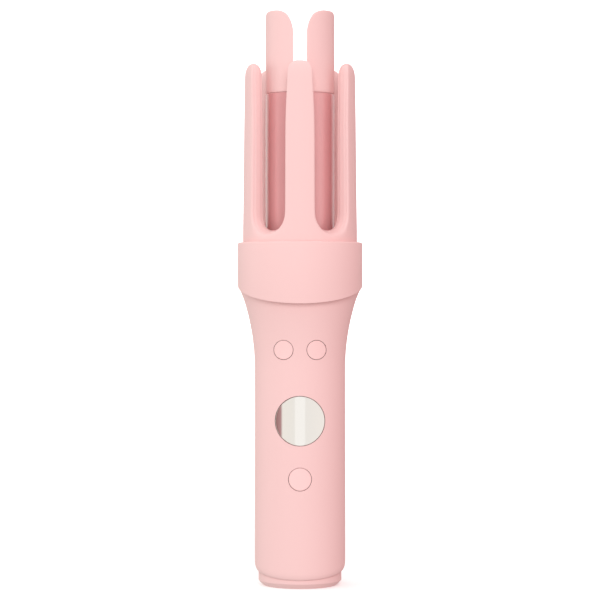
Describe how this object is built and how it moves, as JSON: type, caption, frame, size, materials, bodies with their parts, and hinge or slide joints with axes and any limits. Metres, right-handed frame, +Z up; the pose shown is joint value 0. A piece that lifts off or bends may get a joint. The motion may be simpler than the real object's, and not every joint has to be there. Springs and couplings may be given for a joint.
{
  "type": "automatic hair curler",
  "caption": "Cordless automatic hair curler: a slim round grip with a flared collar, a cage of upright prongs, and a rotating heated barrel with a two-petal fork.",
  "frame": {"origin": "centre of the flat underside of the base cap", "axes": "+Z up along the grip towards the prongs, -Y out of the face with the buttons, +X to the right of someone facing the buttons"},
  "size_m": [0.058, 0.058, 0.2657],
  "materials": {
    "pink_shell": "satin",
    "pink_button": "satin",
    "rose_ceramic": "gloss",
    "mirror_lens": "polished",
    "steel": "brushed",
    "aluminium": "satin",
    "brass": "satin",
    "copper": "satin",
    "board_green": "semi-gloss",
    "black_plastic": "matte",
    "grey_plastic": "matte",
    "white_plastic": "matte",
    "cell_wrap": "gloss",
    "foam": "matte",
    "ptc_ceramic": "matte",
    "mica": "matte",
    "carbon": "matte"
  },
  "bodies": {
    "housing": {"handle_shell": "pink_shell", "base_cap": "pink_shell", "base_screws": "steel", "usb_c_socket": "steel", "charge_pcb": "board_green", "charge_pcb_screws": "steel", "chassis": "grey_plastic", "main_pcb": "board_green", "board_components": "black_plastic", "pcb_screws": "steel", "display_lens": "mirror_lens", "display_module": "black_plastic", "tact_switches": "black_plastic", "battery_left": "cell_wrap", "battery_right": "cell_wrap", "battery_tabs": "steel", "battery_pads": "foam", "motor": "steel", "gearbox": "brass", "motor_screws": "steel", "lower_bush": "brass", "brush_block": "black_plastic", "brush_block_screws": "steel", "brushes": "carbon", "bearing_carrier": "white_plastic", "carrier_screws": "steel", "upper_bush": "brass", "collar": "pink_shell", "cage": "pink_shell", "cage_screws": "steel"},
    "rotor": {"rotor_shaft": "white_plastic", "retaining_clip": "steel", "drive_gear": "white_plastic", "slip_ring_drum": "black_plastic", "slip_rings": "copper", "barrel": "rose_ceramic", "heater_core_front": "aluminium", "heater_core_rear": "aluminium", "ptc_plates": "ptc_ceramic", "thermistor": "black_plastic", "thermal_fuse": "white_plastic", "mica_washers": "mica", "tie_rod": "steel", "tie_nut": "steel", "fork_cap": "pink_shell", "cap_plug": "pink_shell"},
    "pinion": {"pinion": "brass", "motor_shaft": "steel"},
    "left_button": {"left_button": "pink_button", "left_plunger": "steel"},
    "right_button": {"right_button": "pink_button", "right_plunger": "steel"},
    "power_button": {"power_button": "pink_button", "power_plunger": "steel"}
  },
  "joints": [
    {"name": "rotor_spin", "type": "hinge", "parent": "housing", "child": "rotor", "pos_m": [0, 0, 0.15], "axis": [0, 0, 1], "continuous": true},
    {"name": "pinion_spin", "type": "hinge", "parent": "housing", "child": "pinion", "pos_m": [0, 0.01203, 0.112], "axis": [0, 0, 1], "continuous": true},
    {"name": "left_button_press", "type": "slide", "parent": "housing", "child": "left_button", "axis": [0, 1, 0], "range_m": [0, 0.0005], "stiffness_N_per_m": 600},
    {"name": "right_button_press", "type": "slide", "parent": "housing", "child": "right_button", "axis": [0, 1, 0], "range_m": [0, 0.0005], "stiffness_N_per_m": 600},
    {"name": "power_button_press", "type": "slide", "parent": "housing", "child": "power_button", "axis": [0, 1, 0], "range_m": [0, 0.0005], "stiffness_N_per_m": 600}
  ],
  "couplings": [
    {"joint": "pinion_spin", "follows": "rotor_spin", "ratio": -3}
  ]
}
